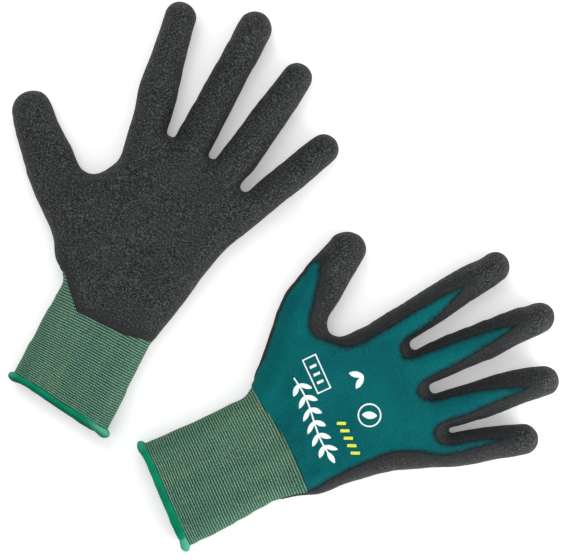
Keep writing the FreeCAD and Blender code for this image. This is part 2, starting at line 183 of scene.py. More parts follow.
class Finger:
    """One finger's centre line in the hand frame, from its two folds and its packed fingertip."""

    def __init__(self, glove, name):
        self.name = name
        folds = [joint(f"{glove.side}_{name}_{fold}_fold")["pos_m"] for fold in ("root", "middle")]
        root_fold, middle_fold = glove.to_hand(np.array(folds))
        ahead = (middle_fold - root_fold)[:2]
        self.fold = np.linalg.norm(ahead) + ROOT_FOLD
        self.ahead = ahead / np.linalg.norm(ahead)
        self.sideways = np.array([self.ahead[1], -self.ahead[0]])
        self.root = root_fold[:2] - self.ahead * ROOT_FOLD
        self.fold_high = root_fold[2]
        tip = glove.to_hand(mesh_points(frame["nodes"][f"{glove.side}_{name}_tip_coating"]))
        self.long = self.along(tip).max()
        self.middle_from = self.fold - FOLD_REACH
        self.root_to = min(ROOT_REACH, self.middle_from)
        self.middle_to = self.fold + FOLD_REACH

    def along(self, points):
        return (points[:, :2] - self.root) @ self.ahead

    def across(self, points):
        return (points[:, :2] - self.root) @ self.sideways

    def spot(self, ahead, sideways=0.0):
        return self.root + self.ahead * ahead + self.sideways * sideways


class Glove:
    """The hand frame of one glove, and the map of its outline."""

    def __init__(self, side):
        self.side = side
        mount = next(m for m in frame["record"]["mounts"] if m["name"] == f"{side}_wrist_opening")
        self.origin = np.array(mount["pos_m"][:2])
        self.ahead = -np.array(mount["axis"][:2])
        self.sideways = np.array([self.ahead[1], -self.ahead[0]])
        self.back_up = side == "right"
        self.fingers = [Finger(self, name) for name in FINGERS]
        self.map_outline()

    def to_hand(self, points):
        """Row-frame points in metres as hand-frame points in millimetres."""
        flat = points[:, :2] - self.origin
        return columns([flat @ self.sideways, flat @ self.ahead, points[:, 2]]) / MM

    def to_row(self, points):
        """Hand-frame points in millimetres as row-frame points in metres."""
        flat = self.origin + (points[:, :1] * self.sideways + points[:, 1:2] * self.ahead) * MM
        return columns([flat, points[:, 2] * MM])

    def map_outline(self):
        """How far inside the outline each point of a flat map is, by rays dropped on the nodes."""
        points, faces = [], []
        for body in frame["record"]["behaviour"]["bodies"]:
            if not body.startswith(self.side):
                continue
            for node in frame["record"]["behaviour"]["bodies"][body]:
                mesh = frame["nodes"][node].data
                start = sum(len(p) for p in points)
                points.append(self.to_hand(mesh_points(frame["nodes"][node])))
                faces += [[start + i for i in polygon.vertices] for polygon in mesh.polygons]
        points = np.vstack(points)
        tree = BVHTree.FromPolygons(points.tolist(), faces)
        low, high = points[:, :2].min(0) - MAP_MARGIN, points[:, :2].max(0) + MAP_MARGIN
        self.low = low
        self.shape = tuple(np.ceil((high - low) / GRID).astype(int) + 1)
        inside = np.zeros(self.shape, bool)
        down = Vector((0, 0, -1))
        for i in range(self.shape[0]):
            for j in range(self.shape[1]):
                above = Vector((low[0] + i * GRID, low[1] + j * GRID, RAY_START))
                inside[i, j] = tree.ray_cast(above, down)[0] is not None
        closed = signed_distance(signed_distance(inside) > -WEB_ROUND) > WEB_ROUND
        clear_of_hem = int((OPEN_END - low[1]) / GRID)
        closed[:, :clear_of_hem] = closed[:, clear_of_hem:clear_of_hem + 1]
        self.depth = blur(signed_distance(closed) * GRID, 1.0 / GRID)
        across = low[0] + GRID * np.arange(self.shape[0])[:, None]
        along = low[1] + GRID * np.arange(self.shape[1])[None, :]
        self.depth -= LATEX_THICK * smooth(55, 60, along)
        for u, v, reach, amount in SWELLS[self.side]:
            self.depth += amount * np.exp(-((across - u) ** 2 + (along - v) ** 2) / reach ** 2)

    def depth_at(self, points):
        return sample(self.depth, (points[:, :2] - self.low) / GRID)


def mesh_points(obj):
    """An object's vertices as rows of three."""
    points = np.zeros(len(obj.data.vertices) * 3)
    obj.data.vertices.foreach_get("co", points)
    return points.reshape(-1, 3)


# ---- maps


def shifted(array, amount, axis, fill):
    """A map moved along one axis, with fill where nothing moves in."""
    moved = np.roll(array, amount, axis)
    edge = [slice(None)] * array.ndim
    edge[axis] = slice(0, amount) if amount > 0 else slice(amount, None)
    moved[tuple(edge)] = fill
    return moved


def distance_to(target):
    """How far each cell is from the nearest cell of the target, up to a limit."""
    limit = 32
    squared = np.where(target, 0.0, float(limit * limit))
    for axis in (0, 1):
        base = squared.copy()
        for step in range(1, limit):
            for amount in (-step, step):
                near = shifted(base, amount, axis, limit * limit) + step * step
                squared = np.minimum(squared, near)
    return np.sqrt(squared)


def signed_distance(inside):
    """Cells from the edge, above 0 inside."""
    return np.where(inside, distance_to(~inside) - 0.5, 0.5 - distance_to(inside))


def blur(array, width):
    """A map with each cell averaged over its neighbours by a bell curve of that width in cells."""
    reach = int(3 * width)
    weights = np.exp(-0.5 * (np.arange(-reach, reach + 1) / width) ** 2)
    weights /= weights.sum()
    for axis in (0, 1):
        margins = [(reach, reach) if a == axis else (0, 0) for a in (0, 1)]
        padded = np.pad(array, margins, mode="edge")
        size = array.shape[axis]
        parts = [np.take(padded, range(k, k + size), axis) * w for k, w in enumerate(weights)]
        array = sum(parts)
    return array


def sample(array, places):
    """Values between cells, blended from the four around each place."""
    top = np.array(array.shape) - 1.001
    places = np.clip(places, 0, top)
    cell = places.astype(int)
    i, j = cell.T
    a, b = (places - cell).T
    near = array[i, j] * (1 - b) + array[i, j + 1] * b
    far = array[i + 1, j] * (1 - b) + array[i + 1, j + 1] * b
    return near * (1 - a) + far * a


def smooth(low, high, value):
    """0 below low and 1 above high, with a smooth rise between."""
    share = np.clip((value - low) / (high - low), 0, 1)
    return share * share * (3 - 2 * share)


def waves(points, seed, scale, count=14):
    """A smooth random field between about -1 and 1 whose bumps are about scale millimetres wide."""
    random = np.random.default_rng(seed)
    total = np.zeros(len(points))
    for _ in range(count):
        direction = random.normal(size=3)
        direction /= np.linalg.norm(direction)
        speed = 2 * math.pi / (scale * random.uniform(1.4, 3.0))
        total += np.sin(points @ direction * speed + random.uniform(0, 2 * math.pi))
    return total / math.sqrt(count / 2) / 1.6


# ---- the knitted surface


def rises(glove, points):
    """How high the surface stands above the widest line, and how far it drops below it."""
    u, v = points[:, 0], points[:, 1]
    share = 1 - 0.13 * np.exp(-(((v - 66) / 22) ** 2)) - 0.05 * smooth(40, 0, v)
    for across, along, wide, long, amount in MOUNDS:
        share += amount * np.exp(-(((u - across) / wide) ** 2) - ((v - along) / long) ** 2)
    share += 0.07 * np.exp(-(((v - 158) / 14) ** 2)) * smooth(-48, -30, u)
    share += 0.045 * waves(columns([u, v, 0 * u]), 3 if glove.back_up else 8, 26)
    bottom = BOTTOM_DROP * (1 - 0.10 * np.exp(-(((v - 66) / 18) ** 2)))
    return TOP_RISE * share, bottom


def level(glove, points):
    """Above 0 outside the knitted surface, 0 on it."""
    depth = glove.depth_at(points)
    round_share = 1 - np.clip(1 - depth / ROUND, 0, None) ** 2
    top, bottom = rises(glove, points)
    height = points[:, 2] - MIDDLE_HIGH
    return (height / np.where(height > 0, top, bottom)) ** 2 - round_share


def slope(glove, points):
    """The direction and steepness in which the level rises."""
    step = 0.35
    rises_by = []
    for axis in range(3):
        offset = np.zeros(3)
        offset[axis] = step
        rise = level(glove, points + offset) - level(glove, points - offset)
        rises_by.append(rise / (2 * step))
    return columns(rises_by)


def settle(glove, points):
    """Points moved onto the knitted surface."""
    for _ in range(4):
        steep = slope(glove, points)
        value = level(glove, points)
        move = steep * (value / (np.sum(steep * steep, 1) + 1e-6))[:, None]
        length = lengths(move)
        points = points - move * np.minimum(1, 0.8 / (length + 1e-9))
    return points


def knitted_surface(glove, spacing=VOXEL):
    """Triangles over the whole glove, from the end of the cuff to the fingertips."""
    low = np.append(glove.low, -2.5)
    high = np.append(glove.low + (np.array(glove.shape) - 1) * GRID, 24.5)
    counts = np.ceil((high - low) / spacing).astype(int)
    axes = [low[k] + spacing * np.arange(counts[k]) for k in range(3)]
    mesh = np.meshgrid(*axes, indexing="ij")
    points = columns([m.ravel() for m in mesh])
    depth = glove.depth_at(points)
    values = np.full(len(points), 3.0, np.float32)
    near = depth > -5
    steep = np.linalg.norm(slope(glove, points[near]), axis=1)
    values[near] = np.clip(level(glove, points[near]) / (steep + 0.02), -3, 3)
    grid = openvdb.FloatGrid(3.0)
    grid.copyFromArray(values.reshape(counts))
    corners, quads = grid.convertToQuads(0.0)
    corners = settle(glove, corners.astype(float) * spacing + low)
    quads = quads.astype(int)
    faces = np.vstack([quads[:, [0, 1, 2]], quads[:, [0, 2, 3]]])
    kept = corners[faces][:, :, 1].min(1) > OPEN_END / 2
    return corners, faces[kept]


def vertex_normals(points, faces):
    """Outward normals, averaged over the triangles round each point."""
    a, b, c = points[faces[:, 0]], points[faces[:, 1]], points[faces[:, 2]]
    flat = np.cross(b - a, c - a)
    total = np.zeros_like(points)
    for k in range(3):
        np.add.at(total, faces[:, k], flat)
    return total / (lengths(total) + 1e-12)


# ---- cutting


def clip(points, faces, field):
    """The part of a triangle mesh where field is above 0, cut cleanly where it crosses 0."""
    value = field[faces]
    above = value > 0
    count = above.sum(1)
    pieces = [faces[count == 3]]
    edges = {}
    added = []

    def crossing(a, b):
        key = (a, b) if a < b else (b, a)
        if key not in edges:
            share = field[key[0]] / (field[key[0]] - field[key[1]])
            edges[key] = len(points) + len(added)
            added.append(points[key[0]] * (1 - share) + points[key[1]] * share)
        return edges[key]

    for row in np.flatnonzero((count == 1) | (count == 2)):
        corner = faces[row]
        kept = above[row]
        lone = int(np.flatnonzero(kept if count[row] == 1 else ~kept)[0])
        a, b, c = (int(corner[(lone + k) % 3]) for k in range(3))
        ab, ac = crossing(a, b), crossing(a, c)
        if count[row] == 1:
            pieces.append(np.array([[a, ab, ac]]))
        else:
            pieces.append(np.array([[ab, b, c], [ab, c, ac]]))
    faces = np.vstack(pieces)
    points = np.vstack([points] + [np.array(added).reshape(-1, points.shape[1])])
    used, compact = np.unique(faces, return_inverse=True)
    return points[used], compact.reshape(-1, 3)


def rim_edges(faces):
    """The directed edges that only one triangle has."""
    directed = np.vstack([faces[:, [0, 1]], faces[:, [1, 2]], faces[:, [2, 0]]])
    key = np.sort(directed, 1)
    _, first, counts = np.unique(key, axis=0, return_index=True, return_counts=True)
    return directed[first[counts == 1]]


def refine(points, faces):
    """Each triangle split into four."""
    edges = np.sort(np.vstack([faces[:, [0, 1]], faces[:, [1, 2]], faces[:, [2, 0]]]), 1)
    unique, where = np.unique(edges, axis=0, return_inverse=True)
    middle = (points[unique[:, 0]] + points[unique[:, 1]]) / 2
    ab, bc, ca = np.split(where.ravel() + len(points), 3)
    a, b, c = faces.T
    split = np.vstack([columns(t) for t in ((a, ab, ca), (ab, b, bc), (ca, bc, c), (ab, bc, ca))])
    return np.vstack([points, middle]), split


# ---- pieces


# A surface is an array with nine columns: where each point is on the plain hand, which the
# patterns and cuts go by, where it lies now, and the outward direction there.
REST, PLACE, NORMAL = slice(0, 3), slice(3, 6), slice(6, 9)


def shell(glove, part, names, slot, surface, faces, outer, inner, **attributes):
    """A closed skin between two offsets from a surface, with a rim round its edges."""
    place, normal = surface[:, PLACE], surface[:, NORMAL]
    outer = np.broadcast_to(outer, len(surface))[:, None]
    inner = np.broadcast_to(inner, len(surface))[:, None]
    points = np.vstack([place + normal * outer, place + normal * inner])
    points[:, 2] = np.maximum(points[:, 2], FLOOR_GAP)
    count = len(surface)
    a, b = rim_edges(faces).T
    walls = np.vstack([columns([b, a, a + count]), columns([b, a + count, b + count])])
    all_faces = np.vstack([faces, faces[:, ::-1] + count, walls])
    normals = np.vstack([normal, -normal])
    rest = np.vstack([surface[:, REST]] * 2)
    doubled = {key: np.concatenate([values, values]) for key, values in attributes.items()}
    make_piece(glove, part, names, slot, points, all_faces, rest, normals, **doubled)


def make_piece(glove, part, names, slot, points, faces, rest, normals=None, **attributes):
    """A Blender object in the row frame, joined to the hand's body when it is part of the hand.

    names are its own and its node's. Each point's place on the plain hand is kept as rest.
    """
    name, node = (f"{glove.side}_{n}" for n in names)
    mesh = bpy.data.meshes.new(name)
    mesh.from_pydata(glove.to_row(points).tolist(), [], faces.tolist())
    mesh.shade_smooth()
    place = mesh.attributes.new("hand_place", "FLOAT_VECTOR", "POINT")
    place.data.foreach_set("vector", rest.astype(np.float32).ravel())
    for key, values in attributes.items():
        layer = mesh.attributes.new(key, "FLOAT", "POINT")
        layer.data.foreach_set("value", np.asarray(values, np.float32))
    if normals is not None:
        turned = normals[:, :1] * glove.sideways + normals[:, 1:2] * glove.ahead
        normals = columns([turned, normals[:, 2]])
        normals /= lengths(normals) + 1e-12
        mesh.normals_split_custom_set_from_vertices(normals.tolist())
    obj = bpy.data.objects.new(name, mesh)
    bpy.context.scene.collection.objects.link(obj)
    mesh.materials.append(MATERIALS[slot])
    attach(glove, obj, part, node)


# ---- where the latex ends


def soften(corners, rounds=3):
    """A closed outline with its corners cut off, several times over."""
    corners = np.asarray(corners, float)
    for _ in range(rounds):
        onward = np.roll(corners, -1, 0)
        cut = [0.75 * corners + 0.25 * onward, 0.25 * corners + 0.75 * onward]
        corners = np.stack(cut, 1).reshape(-1, 2)
    return corners


def inside_distance(corners, points):
    """How far each flat point is inside a closed outline, below 0 outside."""
    starts, ends = corners, np.roll(corners, -1, 0)
    nearest = np.full(len(points), 1e9)
    inside = np.zeros(len(points), bool)
    for a, b in zip(starts, ends):
        run = b - a
        share = np.clip(((points - a) @ run) / (run @ run + 1e-12), 0, 1)
        nearest = np.minimum(nearest, np.linalg.norm(points - a - share[:, None] * run, axis=1))
        crosses = (a[1] > points[:, 1]) != (b[1] > points[:, 1])
        rise = b[1] - a[1] if b[1] != a[1] else 1e-9
        inside ^= crosses & (points[:, 0] < a[0] + (points[:, 1] - a[1]) / rise * run[0])
    return np.where(inside, nearest, -nearest)


# For each finger: the two sides of its bare tongue at the root, how far the tongue stops short of
# the tip, and how far its point lies off the centre line.
TONGUES = {
    "index": (-3.0, 9.6, 28.5, 0.4),
    "middle": (-7.6, 7.4, 21.0, -0.9),
    "ring": (-7.6, 6.6, 18.5, 1.4),
    "little": (-4.8, 2.0, 18.5, -2.4),
}

# Along and across the thumb: the corners of the window past its thumb.
THUMB_EDGE = (
    (20, -24), (31, -8.5), (28, -5.6), (18, -1.0), (6, 4.0), (-4, 6.8), (-8.5, 13), (-5.5, 22),
)

# How far along a tongue, and what share of its width is left there, going up it.
TONGUE_UP = ((-0.12, 1.0), (0.25, 0.93), (0.6, 0.66), (0.88, 0.27))
TONGUE_DOWN = ((0.85, 0.24), (0.55, 0.66), (0.25, 0.93), (-0.12, 1.0))


def window_corners(glove):
    """The bare window on the back: the back of the hand and one pointed tongue per finger."""
    thumb, index = glove.fingers[:2]
    corners = [(-70, 40), (-70, 84)]
    corners += [thumb.spot(*place) for place in THUMB_EDGE]
    corners.append(index.spot(-32, -3.5))
    for finger in glove.fingers[1:]:
        near, far, capped, drift = TONGUES[finger.name]
        end = finger.long - capped
        for share, width in TONGUE_UP:
            aside = drift * share + (near - drift * 0.3) * width
            corners.append(finger.spot(end * share, aside))
        corners += [finger.spot(end, drift)] * 2
        for share, width in TONGUE_DOWN:
            aside = drift * share + (far - drift * 0.3) * width
            corners.append(finger.spot(end * share, aside))
    corners += [(34, 138), (31.5, 118), (31.5, 96), (33.5, 80), (35, 40)]
    return soften(corners, 3)


def bare_depth(glove, places):
    """How far a place is inside the bare window, counting the side of the hand as its edge."""
    flat = inside_distance(window_corners(glove), places[:, :2])
    flat += 0.22 * waves(places, 21, 9.0) + 0.10 * waves(places, 22, 2.2)
    facing = 1 if glove.back_up else -1
    side = (places[:, 2] - MIDDLE_HIGH) * facing - 3.2
    return np.minimum(flat, side)


def latex_depth(glove, places):
    """How far a place is inside the latex film."""
    u, v = places[:, 0], places[:, 1]
    start = 55.0 + 0.95 * np.clip(-16 - u, 0, 20) + 3.5 * smooth(10, 32, u)
    start += 0.3 * waves(places, 23, 9)
    facing = (places[:, 2] - MIDDLE_HIGH) * (1 if glove.back_up else -1)
    start += 15 * smooth(-1.5, 5.5, facing)
    return np.minimum(-bare_depth(glove, places), v - start)


# ---- materials


class Term:
    """A value inside a material, which plain sums can be written with."""

    def __init__(self, shader, socket):
        self.shader, self.socket = shader, socket

    def __add__(self, other):
        return self.shader.sum("ADD", self, other)

    def __sub__(self, other):
        return self.shader.sum("SUBTRACT", self, other)

    def __mul__(self, other):
        return self.shader.sum("MULTIPLY", self, other)

    def __truediv__(self, other):
        return self.shader.sum("DIVIDE", self, other)

    def __abs__(self):
        return self.shader.sum("ABSOLUTE", self)

    def sine(self):
        return self.shader.sum("SINE", self)


class Shader:
    """A material made of nodes, with short ways to write sums and noise over the plain hand."""

    def __init__(self, name):
        self.material = bpy.data.materials.new(name)
        self.material.use_nodes = True
        self.tree = self.material.node_tree
        self.tree.nodes.clear()
        self.surface = self.tree.nodes.new("ShaderNodeBsdfPrincipled")
        output = self.tree.nodes.new("ShaderNodeOutputMaterial")
        self.tree.links.new(self.surface.outputs[0], output.inputs[0])
        self.place = self.attribute("hand_place", "Vector")
        split = self.add("ShaderNodeSeparateXYZ", Vector=self.place)
        self.u, self.v = (Term(self, socket) for socket in split.outputs[:2])

    def add(self, kind, **inputs):
        node = self.tree.nodes.new(kind)
        for name, value in inputs.items():
            self.put(node.inputs[name], value)
        return node

    def put(self, socket, value):
        if isinstance(value, Term):
            self.tree.links.new(value.socket, socket)
        else:
            socket.default_value = value

    def attribute(self, name, output="Fac"):
        node = self.tree.nodes.new("ShaderNodeAttribute")
        node.attribute_name = name
        return Term(self, node.outputs[output])

    def sum(self, operation, *values):
        node = self.tree.nodes.new("ShaderNodeMath")
        node.operation = operation
        for socket, value in zip(node.inputs, values):
            self.put(socket, value)
        return Term(self, node.outputs[0])

    def noise(self, size, detail=2.0, roughness=0.5, stretch=(1, 1, 1)):
        """Noise whose grains are about size millimetres."""
        scaled = self.tree.nodes.new("ShaderNodeVectorMath")
        scaled.operation = "MULTIPLY"
        self.put(scaled.inputs[0], self.place)
        scaled.inputs[1].default_value = stretch
        node = self.add("ShaderNodeTexNoise", Vector=Term(self, scaled.outputs[0]), Scale=1 / size,
                        Detail=detail, Roughness=roughness)
        return Term(self, node.outputs["Fac"])

    def range(self, value, low, high, out_low=0.0, out_high=1.0):
        node = self.add("ShaderNodeMapRange", Value=value)
        ends = {"From Min": low, "From Max": high, "To Min": out_low, "To Max": out_high}
        for name, number in ends.items():
            self.put(node.inputs[name], number)
        return Term(self, node.outputs[0])

    def mix(self, share, first, second):
        node = self.tree.nodes.new("ShaderNodeMix")
        node.data_type = "RGBA"
        for index, value in ((0, share), (6, first), (7, second)):
            self.put(node.inputs[index], value)
        return Term(self, node.outputs[2])

    def bump(self, height, depth_mm, strength=1.0):
        node = self.add("ShaderNodeBump", Height=height, Distance=depth_mm * MM, Strength=strength)
        return Term(self, node.outputs[0])

    def finish(self, color, roughness, normal, specular=0.5):
        settings = {"Base Color": color, "Roughness": roughness, "Normal": normal,
                    "Specular IOR Level": specular}
        for name, value in settings.items():
            self.put(self.surface.inputs[name], value)
        return self.material


def rgb(red, green, blue):
    """A linear colour from a displayed one of 0 to 255."""
    shown = [c / 255 for c in (red, green, blue)]
    return tuple(c / 12.92 if c < 0.04 else ((c + 0.055) / 1.055) ** 2.4 for c in shown) + (1,)


def stitches(shader):
    """The height of rows of V-shaped knit stitches, 0 in the gaps and 1 on the yarn."""
    lean = abs(shader.sum("FRACT", shader.u / WALE) - 0.5)
    row = shader.v / ROW + lean * 1.3
    ridge = abs((row * math.pi).sine())
    gap = shader.range(lean, 0.5, 0.34)
    return ridge * (gap * 0.6 + 0.4)


def knit_material():
    """Fine teal nylon knit, black with soaked latex beside the film."""
    s = Shader("teal_knit")
    yarn = stitches(s)
    cloudy = s.noise(28, 3)
    fuzz = s.noise(0.9, 3, 0.8)
    base = s.mix(s.range(cloudy, 0.35, 0.65), rgb(2, 86, 92), rgb(3, 99, 100))
    # Darker in the gaps between the stitches: painted shade.
    base = s.mix(s.range(yarn, 0.7, 0.0) * 0.5, base, rgb(0, 54, 60))
    base = s.mix(s.range(fuzz, 0.5, 0.7) * 0.4, base, rgb(20, 122, 116))
    base = s.mix(s.range(fuzz, 0.5, 0.3) * 0.4, base, rgb(0, 56, 62))
    reach = s.attribute("beside_latex") + s.range(s.noise(2.6, 3, 0.6), 0.3, 0.7, -0.7, 0.7)
    base = s.mix(s.range(reach, 3.2, 0.3), base, rgb(24, 36, 39))
    return s.finish(base, 0.8, s.bump(yarn + fuzz * 0.4, 0.16), specular=0.06)


def rib_material():
    """Rib knitted in pale and dark green courses."""
    s = Shader("striped_rib")
    course = s.attribute("course") + (s.noise(5, 2) - 0.5) * 0.35
    stripe = (course * (2 * math.pi)).sine()
    slant = s.attribute("round_place") / 0.95 + course * 0.5
    stitch = abs((slant * math.pi).sine())
    speck = s.noise(0.9, 2, 0.8)
    lengthwise = s.noise(11, 2, stretch=(1, 0.12, 1))
    pale = s.mix(s.range(lengthwise, 0.38, 0.62), rgb(115, 159, 139), rgb(137, 169, 141))
    patchy = s.noise(13, 2, stretch=(1, 0.2, 1))
    dark = s.mix(s.range(patchy, 0.4, 0.6), rgb(25, 62, 48), rgb(38, 72, 50))
    # Paler on the stitches' raised loops and darker in the grooves between them: painted shade, over the pale and
    # dark courses.
    share = stripe + (stitch - 0.64) * 2.0 + (speck - 0.5) * 3.4
    base = s.mix(s.range(share, -0.05, 1.35), dark, pale)
    return s.finish(base, 0.85, s.bump(stripe * 0.6 + stitch * 0.6, 0.2), specular=0.15)


def hem_material():
    """Tightly wound green overlock thread, paler at its ends, with painted highlight and painted shade."""
    s = Shader("overlock_thread")
    coil = (s.attribute("round_place") * (2 * math.pi / COIL)).sine()
    strand = s.noise(0.5, 2, 0.7)
    under = s.range(s.attribute("underside"), 0.4, 0.8)
    base = s.mix(s.range(s.noise(14, 2), 0.35, 0.65), rgb(0, 120, 86), rgb(0, 142, 102))
    # Painted highlight on the little finger's end of the band, and a paler tint at the thumb's end.
    base = s.mix(s.attribute("folded") * 0.62, base, rgb(96, 176, 150))
    # Painted shade over the lower half of the band.
    base = s.mix(under * 0.65, base, rgb(0, 74, 54))
    # Dark lines in the grooves between the thread's turns: painted shade, heavier on the shaded lower half.
    base = s.mix(s.range(coil, 0.3, -0.9) * (under * 0.6 + 0.25), base, rgb(0, 52, 38))
    base = s.mix(s.range(strand, 0.55, 0.8) * 0.35, base, rgb(80, 180, 145))
    return s.finish(base, 0.75, s.bump(coil + strand, 0.14), specular=0.06)


def latex_material():
    """Black latex with a sandy crinkle."""
    s = Shader("black_latex")
    crinkle = s.noise(0.92, 4, 0.85)
    coarse = s.noise(3.6, 3, 0.6)
    cloudy = s.noise(24, 4, 0.6)
    base = s.mix(s.range(cloudy, 0.35, 0.65), rgb(16, 18, 18), rgb(29, 31, 30))
    base = s.mix(s.range(crinkle, 0.5, 0.64), base, rgb(91, 95, 93))
    base = s.mix(s.range(crinkle, 0.5, 0.37), base, rgb(3, 4, 4))
    thin = s.attribute("latex_edge") + s.range(coarse, 0.3, 0.7, -1.2, 1.2)
    base = s.mix(s.range(thin, 8.5, 2.5) * 0.8, base, rgb(30, 31, 33))
    rough = s.range(coarse, 0.3, 0.7, 0.52, 0.72)
    return s.finish(base, rough, s.bump(crinkle + coarse * 0.8, 0.6, 0.95), specular=0.2)


def elastic_material():
    """A pale covered thread."""
    s = Shader("elastic_thread")
    wrap = (s.attribute("round_place") * (2 * math.pi / 0.8)).sine()
    # Paler on the wraps and darker between them: painted shade.
    base = s.mix(s.range(wrap, -1, 1), rgb(96, 128, 104), rgb(170, 186, 160))
    return s.finish(base, 0.7, s.bump(wrap, 0.1))


def ink_material(name, color, worn):
    """A transfer print that follows the knit under it."""
    s = Shader(name)
    yarn = stitches(s)
    patchy = s.noise(1.1, 3, 0.7)
    base = s.mix(s.range(patchy, 0.52, 0.75) * 0.6, color, worn)
    base = s.mix(s.range(yarn, 0.35, 0.0) * 0.35, base, worn)
    return s.finish(base, 0.5, s.bump(yarn, 0.08))


# ---- the hand and fingers


def lane(glove, finger):
    """Half the width of the strip cut out for a finger."""
    coating = glove.to_hand(mesh_points(frame["nodes"][f"{glove.side}_{finger.name}_root_coating"]))
    return np.abs(finger.across(coating)).max() + LANE_SPARE


def knit_start(points):
    """How far a point is past the line where the teal knit takes over from the striped rib."""
    u, v = points[:, 0], points[:, 1]
    line = 72.0 + 5.5 * smooth(-42, 5, u) - 1.5 * smooth(15, 45, u)
    return v - line - 0.25 * waves(points, 31, 3)


def build_hand(glove):
    """The teal knit and the latex of the hand and of each finger's two lengths."""
    corners, faces = knitted_surface(glove)
    place = lie(glove, corners, faces)
    surface = np.hstack([corners, place, vertex_normals(place, faces)])
    strips = [
        np.minimum(finger.along(corners) - BEND_FROM,
                   lane(glove, finger) - np.abs(finger.across(corners)))
        for finger in glove.fingers
    ]
    off_fingers = -np.maximum.reduce(strips)
    hand_knit = clip(surface, faces, np.minimum(knit_start(corners), off_fingers))
    add_knit(glove, "hand", hand_knit)
    add_latex(glove, "hand", clip(surface, faces, off_fingers))
    for finger, strip in zip(glove.fingers, strips):
        strip_surface, strip_faces = clip(surface, faces, strip)
        beyond = finger.along(strip_surface[:, REST]) - finger.middle_from
        for length, field in (("root", -beyond), ("tip", beyond)):
            piece = clip(strip_surface, strip_faces, field)
            add_knit(glove, f"{finger.name}_{length}", piece)
            add_latex(glove, f"{finger.name}_{length}", piece)
    return surface, faces


def attach(glove, piece, part, node):
    """Join a piece to the hand's body if it is part of the hand; a finger length's piece is left unjoined where it
    lies. Either way, hide its node.
    """
    if part == "hand":
        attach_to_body(piece, f"{glove.side}_hand")
    else:
        name, length = part.split("_")
        finger = next(f for f in glove.fingers if f.name == name)
        before, ends = "hand", (BEND_FROM, finger.root_to)
        if length == "tip":
            before, ends = f"{name}_root", (finger.middle_from, finger.middle_to)
        spots = [np.append(finger.spot(end), finger.fold_high) for end in ends]
        start, end = glove.to_row(np.array(spots))
        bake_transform(piece)
    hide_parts(node)


def add_knit(glove, part, piece):
    """The knit of one part."""
    surface, faces = piece
    beside = -latex_depth(glove, surface[:, REST])
    names = (f"{part}_knit", f"{part}_liner")
    shell(glove, part, names, "teal_knit", surface, faces, 0.0, -KNIT_THICK, beside_latex=beside)


def add_latex(glove, part, piece):
    """The film over one part's knit, thin where it ends."""
    surface, faces = piece
    surface, faces = clip(surface, faces, latex_depth(glove, surface[:, REST]))
    depth = latex_depth(glove, surface[:, REST])
    outer = LATEX_EDGE + (LATEX_THICK - LATEX_EDGE) * smooth(0, LATEX_FADE, depth)
    names = (f"{part}_latex", f"{part}_coating")
    shell(glove, part, names, "latex", surface, faces, outer, LATEX_LIFT, latex_edge=depth)


def cloth_shift(glove, points):
    """How each point moves when a coarse copy of the glove is run as cloth.

    It is held at the cuff, lightly filled and cut a little too large, so that it buckles.
    """
    corners, faces = knitted_surface(glove, CLOTH_SPACING)
    mesh = bpy.data.meshes.new("cloth_trial")
    mesh.from_pydata((corners * CLOTH_SCALE).tolist(), [], faces.tolist())
    trial = bpy.data.objects.new("cloth_trial", mesh)
    scene = bpy.context.scene
    scene.collection.objects.link(trial)
    held = trial.vertex_groups.new(name="held")
    for index, share in enumerate(1 - smooth(62, 95, corners[:, 1])):
        held.add([index], float(share), "REPLACE")
    cloth = trial.modifiers.new("cloth", "CLOTH")
    cloth.settings.vertex_group_mass = "held"
    cloth.settings.quality = 5
    cloth.settings.mass = 0.2
    cloth.settings.tension_stiffness = cloth.settings.compression_stiffness = 12
    cloth.settings.shear_stiffness = 4
    cloth.settings.bending_stiffness = 0.6
    cloth.settings.use_pressure = True
    cloth.settings.uniform_pressure_force = CLOTH_PRESSURE
    cloth.settings.shrink_min = -CLOTH_EXCESS
    cloth.settings.effector_weights.gravity = 0
    cloth.collision_settings.use_collision = False
    for step in range(1, CLOTH_FRAMES + 1):
        scene.frame_set(step)
    result = trial.evaluated_get(bpy.context.evaluated_depsgraph_get())
    moved = np.zeros(len(corners) * 3)
    result.data.vertices.foreach_get("co", moved)
    shift = moved.reshape(-1, 3) / CLOTH_SCALE - corners
    scene.frame_set(1)
    bpy.data.objects.remove(trial)

    tree = KDTree(len(corners))
    for index, corner in enumerate(corners):
        tree.insert(corner, index)
    tree.balance()
    carried = np.zeros_like(points)
    for index, point in enumerate(points):
        near = tree.find_n(point, 5)
        weights = np.exp(-(np.array([found[2] for found in near]) / CLOTH_SPACING) ** 2) + 1e-9
        carried[index] = weights @ shift[[found[1] for found in near]] / weights.sum()
    carried[:, :2] *= SIDEWAYS_SHARE
    length = lengths(carried)
    return carried * np.minimum(1, CLOTH_CAP / (length + 1e-9))


def lie(glove, points, faces):
    """Where the plain hand's points lie once the fabric has settled."""
    uneven = 0.25 * waves(points, 41, 16) + 0.14 * waves(points, 42, 6)
    uneven *= smooth(70, 84, points[:, 1])
    place = points + vertex_normals(points, faces) * uneven[:, None]
    place += cloth_shift(glove, points) * smooth(70, 84, points[:, 1])[:, None]
    return place


# ---- the cuff


def edge_line(glove, along):
    """The two sides of the outline at a distance along the hand, found on the map."""
    step_wide = 0.25
    across = np.arange(-62, 62, step_wide)
    depth = glove.depth_at(columns([across, np.full(len(across), along)]))
    inside = np.flatnonzero(depth > 0)
    ends = []
    for index, step in ((inside[0], -1), (inside[-1], 1)):
        here, there = depth[index], depth[index + step]
        ends.append(across[index] + step * step_wide * here / (here - there))
    return ends


